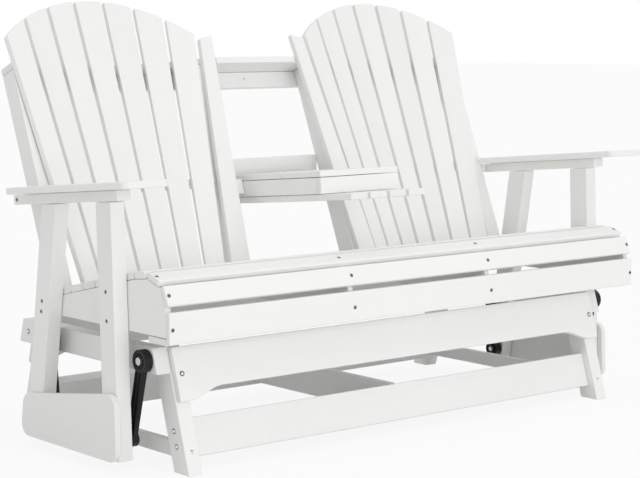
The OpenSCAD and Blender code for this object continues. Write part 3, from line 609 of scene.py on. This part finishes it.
def even_noise(bench, scale, detail=2.0):
    """Noise that is the same every way, read in the object's own space."""
    place = bench.add("ShaderNodeTexCoord", out="Object")
    return bench.add("ShaderNodeTexNoise", values={
        "Vector": place, "Scale": scale, "Detail": detail})


def metal(name, tone, rough, dark, metallic=1.0):
    """A bare or coated metal with fine wear, darker where a part's faces are marked."""
    worn_share, worn_tone = 0.25, 0.6
    material, bench = finish_tree(name)
    wear = even_noise(bench, 900.0, detail=3.0)
    patches = even_noise(bench, 90.0)
    # Marked faces take the second colour; on the carriage bolts' rings and in the bearings' pockets
    # it is painted shade.
    mark = bench.add("ShaderNodeAttribute", {"attribute_name": "tint"}, out="Fac")
    colour = blended(bench, mark, (*tone, 1), (*dark, 1))
    worn = blended(bench, patches * worn_share, colour, tuple(t * worn_tone for t in tone) + (1,))
    close_finish(bench, Base_Color=worn, Metallic=metallic - mark * metallic,
                 Roughness=rough + (patches - 0.5) * 0.2 + mark * 0.3,
                 Normal=relief_of(bench, wear, 0.25, 0.2 * MM))
    return material


bolt_steel = metal("bolt_steel", (0.72, 0.72, 0.70), 0.34, (0.05, 0.05, 0.05))
head_wide, dome_wide, dome_high = 12 * MM, 9 * MM, 3.5 * MM
neck_drop, neck_high = 0.4 * MM, 1.2 * MM


def dome_outline(wide, high, steps=7):
    """The outline of a low dome, from the crown outwards."""
    radius = (wide * wide / 4 + high * high) / (2 * high)
    half = math.asin(wide / 2 / radius)
    angles = [half * k / steps for k in range(steps + 1)]
    return [(radius * math.sin(a), -radius + radius * math.cos(a)) for a in angles]


dome = dome_outline(dome_wide, dome_high)
carriage_head = dome + [(dome_wide / 2, -dome_high), (head_wide / 2, -dome_high + neck_drop),
                        (head_wide / 2, -dome_high - neck_high), (0, -dome_high - neck_high)]
# The ring round each dome is painted dark, as the shadow in its seat in the lumber.
carriage_painted_shade = [0.0] * len(dome) + [1.0] * 3
base_spots = [(at, out) for at, out, _ in shanks_of("base_bolts")]
heads("base_carriage_bolts", base_spots, lathed("dome", carriage_head, tint=carriage_painted_shade),
      bolt_steel, "base", ("base_bolts",), seed=3)

# Upper pivot bolts
# Long bolts from the outside through the bearings, the pivot rails and the front legs.
# A domed cap covers each head, and a hexagon nut holds it on the inside.
pivot_wide, pivot_high, pivot_rim, shank = 12 * MM, 4.5 * MM, 0.4 * MM, 10 * MM
nut_wide, nut_high, nut_body, nut_slope = 17 * MM, 8 * MM, 7 * MM, 0.8 * MM


def hexagon(flat, low, high):
    """The outline of a nut's body for a lathe of six parts."""
    corner = flat / 2 / math.cos(math.pi / 6)
    inner = corner * 0.9
    return [(0, high), (inner, high), (corner, high - nut_slope), (corner, low + nut_slope),
            (inner, low), (0, low)]


cap = dome_outline(pivot_wide, pivot_high)
pivot_spots = shanks_of("upper_pivot_bolts")
for end, want in (("front", -1), ("rear", 1)):
    chosen = [(at, out, long) for at, out, long in pivot_spots if at.y * want > 0]
    long = chosen[0][2]
    rim = -pivot_high - pivot_rim
    shaft = cap + [(pivot_wide / 2, rim), (shank / 2, rim), (shank / 2, -long), (0, -long)]
    heads(f"{end}_pivot_caps", [(at, out) for at, out, _ in chosen], lathed("cap", shaft),
          bolt_steel, "base", ("upper_pivot_bolts",) if end == "front" else (),
          seed=4)
    heads(f"{end}_pivot_nuts", [(at - out * (long - nut_high), out) for at, out, _ in chosen],
          lathed("nut", hexagon(nut_wide, -nut_body, 0), parts=6), bolt_steel, "base",
          seed=5)

# Glide arms
# Cast black arms, grooved lengthwise on both sides, with a bearing housing above and an eye
# below. The upper end swings on the base and the lower end carries the seat.
arm_black, bench = finish_tree("arm_black")
pebble = even_noise(bench, 1400.0)
sheen = even_noise(bench, 45.0, detail=3.0)
deep_black, worn_black, coat_ior = (0.003, 0.003, 0.0035, 1), (0.010, 0.010, 0.011, 1), 1.36
close_finish(bench, Base_Color=blended(bench, sheen, deep_black, worn_black),
             Roughness=0.46 + (sheen - 0.5) * 0.3, Normal=relief_of(bench, pebble, 0.3, 0.3 * MM),
             IOR=coat_ior)
arm_round = 0.7 * MM


def softened(node, rounding):
    """A CAD node's one solid with its sharp edges rounded."""
    corner_angle, least_edge = 0.6, 0.8 * MM
    casting = solids_of(node)[0]
    bmesh.ops.dissolve_limit(casting, angle_limit=flat_angle, verts=casting.verts,
                             edges=casting.edges)
    casting.normal_update()
    sharp = [e for e in casting.edges if len(e.link_faces) == 2
             and e.calc_face_angle() > corner_angle and e.calc_length() > least_edge]
    rounded(casting, sharp, rounding, 2)
    for face in casting.faces:
        face.smooth = True
    return casting


for end in ("front", "rear"):
    for side in ("left", "right"):
        node = f"glide_arm_{end}_{side}"
        set_down(f"{end}_{side}_glide_arm", stacked(node + "_mesh", [softened(node, arm_round)]),
                 arm_black, f"arm_{end}_{side}", (node,))

# Bearings
# A ball bearing in each housing: a dark ring whose outer face has twelve deep pockets between
# thin ribs, round the bolt's cap.
bearing_steel = metal("bearing_steel", (0.030, 0.030, 0.032), 0.45, (0.002, 0.002, 0.002),
                      metallic=0.0)
bearing_round, pocket_floor, pocket_reach = 0.35 * MM, 1.5 * MM, 20.2 * MM

for end in ("front", "rear"):
    for side in ("left", "right"):
        node = f"bearing_{end}_{side}"
        casting = softened(node, bearing_round)
        mark = casting.faces.layers.float.new("tint")
        low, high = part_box(node)
        # Faces deep in the pockets are marked, and so painted darker than the ribs, as the shade
        # inside the pockets.
        for face in casting.faces:
            at = face.calc_center_median()
            sunk = min(at.x - low.x, high.x - at.x)
            rim = math.hypot(at.y - (low.y + high.y) / 2, at.z - (low.z + high.z) / 2)
            face[mark] = 1.0 if sunk > pocket_floor and rim < pocket_reach else 0.0
        set_down(f"{end}_{side}_bearing", stacked(node + "_mesh", [casting]), bearing_steel,
                 f"arm_{end}_{side}", (node,))

# Lower pivot bolts
# Bolts through the arms' lower eyes into the posts, with a round cap inside and a spacer
# between the arm and the post.
eye_wide, eye_high = 18 * MM, 5 * MM
spacer_low, spacer_high, spacer_play, spacer_round = 27.1 * MM, 31.5 * MM, 0.2 * MM, 0.5 * MM
lower_spots = shanks_of("lower_pivot_bolts")
spots = [(at, out) for at, out, _ in lower_spots]
eye_long = lower_spots[0][2]
eye_cap = [(0, 0), (4.2 * MM, -0.4 * MM), (5.4 * MM, -1.4 * MM), (5.6 * MM, -2.6 * MM),
           (eye_wide / 2 - 0.8 * MM, -2.6 * MM), (eye_wide / 2, -3.4 * MM),
           (eye_wide / 2, -eye_high), (shank / 2, -eye_high), (shank / 2, -eye_long),
           (0, -eye_long)]
eye_tint = [0.0] * 3 + [1.0] * 4 + [0.0] * 3
heads("lower_pivot_caps", spots, lathed("eye_cap", eye_cap, tint=eye_tint), bolt_steel, "seat",
      ("lower_pivot_bolts",), seed=6)


def ring_outline(inner, outer, low, high, soft):
    """The outline of a flat ring with softened rims, closed on itself."""
    return [(inner, low + soft), (inner + soft, low), (outer - soft, low), (outer, low + soft),
            (outer, high - soft), (outer - soft, high), (inner + soft, high), (inner, high - soft),
            (inner, low + soft)]


spacer = ring_outline(shank / 2 - spacer_play, eye_wide / 2, -spacer_high, -spacer_low,
                      spacer_round)
heads("lower_pivot_spacers", spots, lathed("spacer", spacer), bolt_steel, "seat",
      seed=7)

# Seat supports
# Four thin boards on edge, sawn to the seat's slope with a rounded nose, carry the slats.
for place_name in ("outer_left", "outer_right", "inner_left", "inner_right"):
    lumber_piece(f"{place_name}_seat_support", "seat", f"seat_support_{place_name}", cut=recut,
                 seam=wide_seam)

# Seat slats
# Seven flat slats run the whole width of the seat, six on the slope and one on the rise to
# the front edge, each with rounded edges and a narrow gap to the next.
seat_half_long, seat_slope = 744.5 * MM, 12.6
slat_wide, slat_gap, board_thick = 52 * MM, 2.5 * MM, 17 * MM
nose_slat_wide, nose_drop, nose_deep = 41 * MM, 6 * MM, 54 * MM


def pivot_of(joint):
    """The point that a joint of the frame turns about."""
    return Vector(next(j["pos_m"] for j in frame["joints"] if j["name"] == joint))


# The slope bends down to the nose 9 mm behind the line of the front arms' upper pivots
seat_bend = Vector((0, pivot_of("glide_arm_front_left").y + 9 * MM, 435 * MM))


def row_tree():
    """A row of equal boards, side by side along Y, lying flat on Z = 0."""
    bench, size = open_shape("row_of_boards", Count="Int", Pitch="Float", Wide="Float",
                             Long="Float", Thick="Float", First="Float", Finish="Material")
    step = bench.add("ShaderNodeCombineXYZ", values={"Y": size["Pitch"]})
    start = bench.add("ShaderNodeCombineXYZ", values={"Y": size["First"], "Z": size["Thick"] / 2})
    line = bench.add("GeometryNodeMeshLine", values={
        "Count": size["Count"], "Start Location": start, "Offset": step})
    lump = bench.add("ShaderNodeCombineXYZ", values={
        "X": size["Long"], "Y": size["Wide"], "Z": size["Thick"]})
    board = bench.add("GeometryNodeMeshCube", values={"Size": lump})
    laid = bench.add("GeometryNodeInstanceOnPoints", values={"Points": line, "Instance": board})
    return close_shape(bench, laid, size["Finish"])


row_of_boards = row_tree()


def boards_at(place, tree, **sizes):
    """The separate boards that a tree makes, moved to their place."""
    mesh = grown("boards", bpy.data.meshes.new("start"), tree, Finish=lumber, **sizes)
    mesh.transform(place)
    found = solids_in(mesh)
    bpy.data.meshes.remove(mesh)
    return found


nose_slope = math.degrees(math.atan(nose_drop / nose_deep))
at_slope = Matrix.Translation(seat_bend) @ turned(-seat_slope, "X")
at_nose = Matrix.Translation(seat_bend) @ turned(-nose_slope, "X")
slats = boards_at(at_slope, row_of_boards, Count=6, Pitch=slat_wide + slat_gap, Wide=slat_wide,
                  Long=2 * seat_half_long, Thick=board_thick, First=(slat_gap + slat_wide) / 2)
slats += boards_at(at_nose, row_of_boards, Count=1, Pitch=nose_slat_wide, Wide=nose_slat_wide,
                   Long=2 * seat_half_long, Thick=board_thick,
                   First=-slat_gap - nose_slat_wide / 2)
set_down("seat_boards", stacked("seat_boards", [eased(s) for s in slats]), lumber, "seat",
         ("seat_slats",))

# Front boards
# Three thin boards wrap the nose of the seat supports in facets, and a fourth lies under
# them. Each is screwed to the supports.
soft_round = 3.0 * MM
for label in ("lip", "brow", "lower", "under"):
    lumber_piece(f"{label}_board_front", "seat", f"front_{label}_board", rounding=soft_round,
                 seam=wide_seam if label == "under" else board_seam)

# Posts and skirts
# Thick posts at each side carry the armrests and reach down to the glide arms' lower bolts.
# A thin skirt with rounded corners covers the arms from outside.
for end in ("front", "rear"):
    for side in ("left", "right"):
        lumber_piece(f"{end}_{side}_post", "seat", f"post_{end}_{side}")
for side in ("left", "right"):
    lumber_piece(f"{side}_skirt", "seat", f"skirt_{side}", seam=wide_seam)

# Armrests
# A wide thin board with two rounded corners at each side. It lies on a cleat along the tops of
# the posts, which a spacer joins to the outer upright.
for side in ("left", "right"):
    lumber_piece(f"{side}_armrest", "seat", f"armrest_{side}", rounding=soft_round)
lumber_piece("armrest_cleats", "seat", "arm_cleats", seam=wide_seam)

# Uprights
# Four thick uprights lean back behind the slats, screwed to the seat supports at their feet.
# Their front faces are planed to the fans.
for place_name in ("outer_left", "outer_right", "inner_left", "inner_right"):
    lumber_piece(f"{place_name}_upright", "seat", f"upright_{place_name}")

# Fan backs
# Seven tapered slats stand on each seat in a shallow curve, spreading like a fan, and are
# sawn along the top to one round arc.
back_lean, back_behind = 21.8, 394.5 * MM
back_at = Vector((0, pivot_of("glide_arm_front_left").y + back_behind, 457 * MM))
fan_middle, fan_arc, fan_slats = 460 * MM, math.radians(16.5), 7
fan_half, fan_spread, fan_long, fan_tail = 220 * MM, 71 * MM, 645 * MM, 106 * MM
fan_gap, fan_round = 9 * MM, 410 * MM


def fan_tree():
    """A fan of tapered slats on a cone, sawn to an arc, with X across, Y back and Z up."""
    bench, size = open_shape("fan_of_slats", Count="Int", Half="Float", Growth="Float",
                             Arc="Float", Gap="Float", Thick="Float", Top="Float", Round="Float",
                             Tail="Float", Finish="Material")
    roots = bench.add("GeometryNodeMeshLine", values={
        "Count": size["Count"], "Offset": (0, 0, 0)})
    blank = bench.add("GeometryNodeMeshCube", values={
        "Size": (2, 1, 1), "Vertices X": 11, "Vertices Y": 2, "Vertices Z": 2})
    set_out = bench.add("GeometryNodeInstanceOnPoints", values={
        "Points": roots, "Instance": blank})
    marked = bench.add("GeometryNodeStoreNamedAttribute", {
        "data_type": "FLOAT", "domain": "INSTANCE"}, {
        "Geometry": set_out, "Name": "slat", "Value": bench.add("GeometryNodeInputIndex")})
    solid = bench.add("GeometryNodeRealizeInstances", values={"Geometry": marked})
    corner = bench.add("GeometryNodeInputPosition")
    x, y, z = (bench.add("ShaderNodeSeparateXYZ", values={0: corner}, out=k) for k in range(3))
    slat = bench.add("GeometryNodeInputNamedAttribute", {"data_type": "FLOAT"}, {"Name": "slat"})
    step = size["Arc"] * 2 / size["Count"]
    lean = (slat - (size["Count"] - 1) / 2) * step
    sine, cosine = lean.work("SINE", lean), lean.work("COSINE", lean)
    half_step = step.work("TANGENT", step / 2)
    arc_sine = step.work("SINE", size["Arc"])
    deep = (y + 0.5) * size["Thick"]

    def radius(up):
        return (size["Half"] + up * size["Growth"]) / arc_sine

    def across(up):
        return (radius(up) * half_step - size["Gap"] / 2) * x

    def sideways(up):
        return radius(up) * sine + across(up) * cosine + deep * sine

    # The arc's height over a slat's edge depends on how far out the edge is up there, and the
    # other way round, so the two are worked out in turns that settle
    top = size["Top"] + 0
    for _ in range(4):
        side = sideways(top)
        top = size["Top"] - size["Round"] + top.work(
            "SQRT", size["Round"] * size["Round"] - side * side)
    up = (z + 0.5) * (top + size["Tail"]) - size["Tail"]
    back = radius(up) * (cosine - 1) - across(up) * sine + deep * cosine
    place = bench.add("ShaderNodeCombineXYZ", values={"X": sideways(up), "Y": back, "Z": up})
    shaped = bench.add("GeometryNodeSetPosition", values={"Geometry": solid, "Position": place})
    return close_shape(bench, shaped, size["Finish"])


fan_of_slats = fan_tree()
at_back = Matrix.Translation(back_at) @ turned(-back_lean, "X")
for side, sign in (("left", -1), ("right", 1)):
    at_fan = at_back @ Matrix.Translation((sign * fan_middle, 0, 0))
    slats = boards_at(at_fan, fan_of_slats, Count=fan_slats, Half=fan_half,
                      Growth=fan_spread / fan_long, Arc=fan_arc, Gap=fan_gap, Thick=board_thick,
                      Top=fan_long, Round=fan_round, Tail=fan_tail)
    set_down(f"{side}_fan_back", stacked(f"{side}_fan", [eased(s) for s in slats]), lumber, "seat",
             (f"fan_slats_{side}",))

# Filler boards
# A short tapered board of the same thin lumber stands beside each fan, next to the console,
# on the inner uprights.
lumber_piece("filler_boards_inner", "seat", "filler_boards")

# Supports behind the backs
# Flat boards on top of the uprights, halfway up and at the foot hold the slats in their
# curve. A rail runs along the rear of the uprights, and a board closes the space behind the
# console.
lumber_piece("top_support_board", "seat", "top_support", cut=recut)
lumber_piece("top_rail_board", "seat", "top_rail")
lumber_piece("middle_support_boards", "seat", "middle_supports", cut=recut)
lumber_piece("low_support_boards", "seat", "low_supports", cut=recut)
lumber_piece("console_back_board", "seat", "console_stop_board")

# Console
# A low box with a top of three boards and a panel of four slats below it turns between two
# hinge blocks, so that it folds up between the backs.
lumber_piece("console_table", "console", "console_top", seam=wide_seam)
lumber_piece("console_sides", "console", "console_box")
lumber_piece("console_blocks", "seat", "console_hinge_blocks")
console_pitch, panel_slats = 5, 4
panel_half, panel_front, panel_rear = 120 * MM, 429 * MM, 77 * MM
panel_gap, panel_low = 9 * MM, 43 * MM
panel_wide = (2 * panel_half - (panel_slats - 1) * panel_gap) / panel_slats
at_panel = (Matrix.Translation(pivot_of("console_fold")) @ turned(-console_pitch, "X")
            @ Matrix.Translation((0, (panel_rear - panel_front) / 2, -panel_low)) @ turned(90, "Z"))
slats = boards_at(at_panel, row_of_boards, Count=panel_slats, Pitch=panel_wide + panel_gap,
                  Wide=panel_wide, Long=panel_front + panel_rear, Thick=board_thick,
                  First=panel_wide / 2 - panel_half)
set_down("console_panel_slats", stacked("console_panel_slats", [eased(s) for s in slats]), lumber,
         "console", ("console_panel",))

# Console pivot bolts
# Two short bolts through the sides of the box into the hinge blocks, domed on the inside.
pins = shanks_of("console_pivot_bolts")
pin_long, pin_rim = pins[0][2], 0.3 * MM
pin = dome + [(dome_wide / 2, -dome_high - pin_rim), (shank / 2, -dome_high - pin_rim),
              (shank / 2, -pin_long), (0, -pin_long)]
heads("console_pivot_pins", [(at, out) for at, out, _ in pins], lathed("pin", pin), bolt_steel,
      "seat", ("console_pivot_bolts",), seed=8)

# Wood screws
# Coated steel screws with a small square-drive head. Each has raised a thin burr of white
# plastic round itself.
screw_steel = metal("screw_steel", (0.16, 0.155, 0.15), 0.42, (0.80, 0.80, 0.78), metallic=0.85)
screw_high, screw_wide, burr_wide, screw_parts = 1.2 * MM, 7.5 * MM, 11 * MM, 16
drive_half, drive_round, drive_deep, drive_sharp_over = 1.15 * MM, 1.55 * MM, 1.0 * MM, 40


def screw_head():
    """A wood screw's head with its square recess, in its ring of raised plastic."""
    radius, burr = screw_wide / 2, burr_wide / 2
    outline = [(drive_round, -0.15 * MM), (radius * 0.75, -0.12 * MM),
               (radius * 0.95, -0.45 * MM), (radius, -0.8 * MM),
               (radius, -screw_high - 0.5 * MM), (burr * 0.8, -screw_high + 0.45 * MM),
               (burr * 0.95, -screw_high + 0.25 * MM), (burr, -screw_high - 0.3 * MM)]
    head = lathed("screw", outline, parts=screw_parts, tint=[0.0] * 4 + [1.0] * 4)
    shape = bmesh.new()
    shape.from_mesh(head)
    # The first ring of corners is the rim of the recess, and the last is the foot of the burr
    corners = list(shape.verts)
    rim, under, low = corners[:screw_parts], corners[-screw_parts:], []
    for vert in rim:
        widen = drive_half / max(abs(vert.co.x), abs(vert.co.y))
        low.append(shape.verts.new((vert.co.x * widen, vert.co.y * widen, -drive_deep)))
    for k in range(screw_parts):
        n = (k + 1) % screw_parts
        shape.faces.new((rim[k], rim[n], low[n], low[k]))
    shape.faces.new(low)
    shape.faces.new(under)
    bmesh.ops.recalc_face_normals(shape, faces=shape.faces)
    for face in shape.faces:
        face.smooth = True
    shape.to_mesh(head)
    shape.free()
    head.set_sharp_from_angle(angle=math.radians(drive_sharp_over))
    return head


near_middle = 5 * MM
screw_spots = [(at, out) for at, out, _ in shanks_of("seat_screws")]
rail_screw = min(screw_spots, key=lambda spot: (abs(spot[0].x) > near_middle, -spot[0].z))
screw_spots.remove(rail_screw)
heads("seat_wood_screws", screw_spots, screw_head(), screw_steel, "seat",
      ("seat_screws",), seed=11)

# Top rail plug
# The screw in the middle of the top rail lies under a domed cap of white plastic, pressed over
# its head.
plug_white, bench = finish_tree("plug_white")
specks = even_noise(bench, 700.0)
close_finish(bench, Base_Color=(0.70, 0.70, 0.69, 1), Roughness=0.42 + (specks - 0.5) * 0.2,
             IOR=plastic_ior)
plug = dome_outline(screw_wide, screw_high) + [
    (screw_wide / 2, -2 * screw_high), (0, -2 * screw_high)]
heads("top_rail_plug", [rail_screw], lathed("plug", plug), plug_white, "seat",
      seed=12)
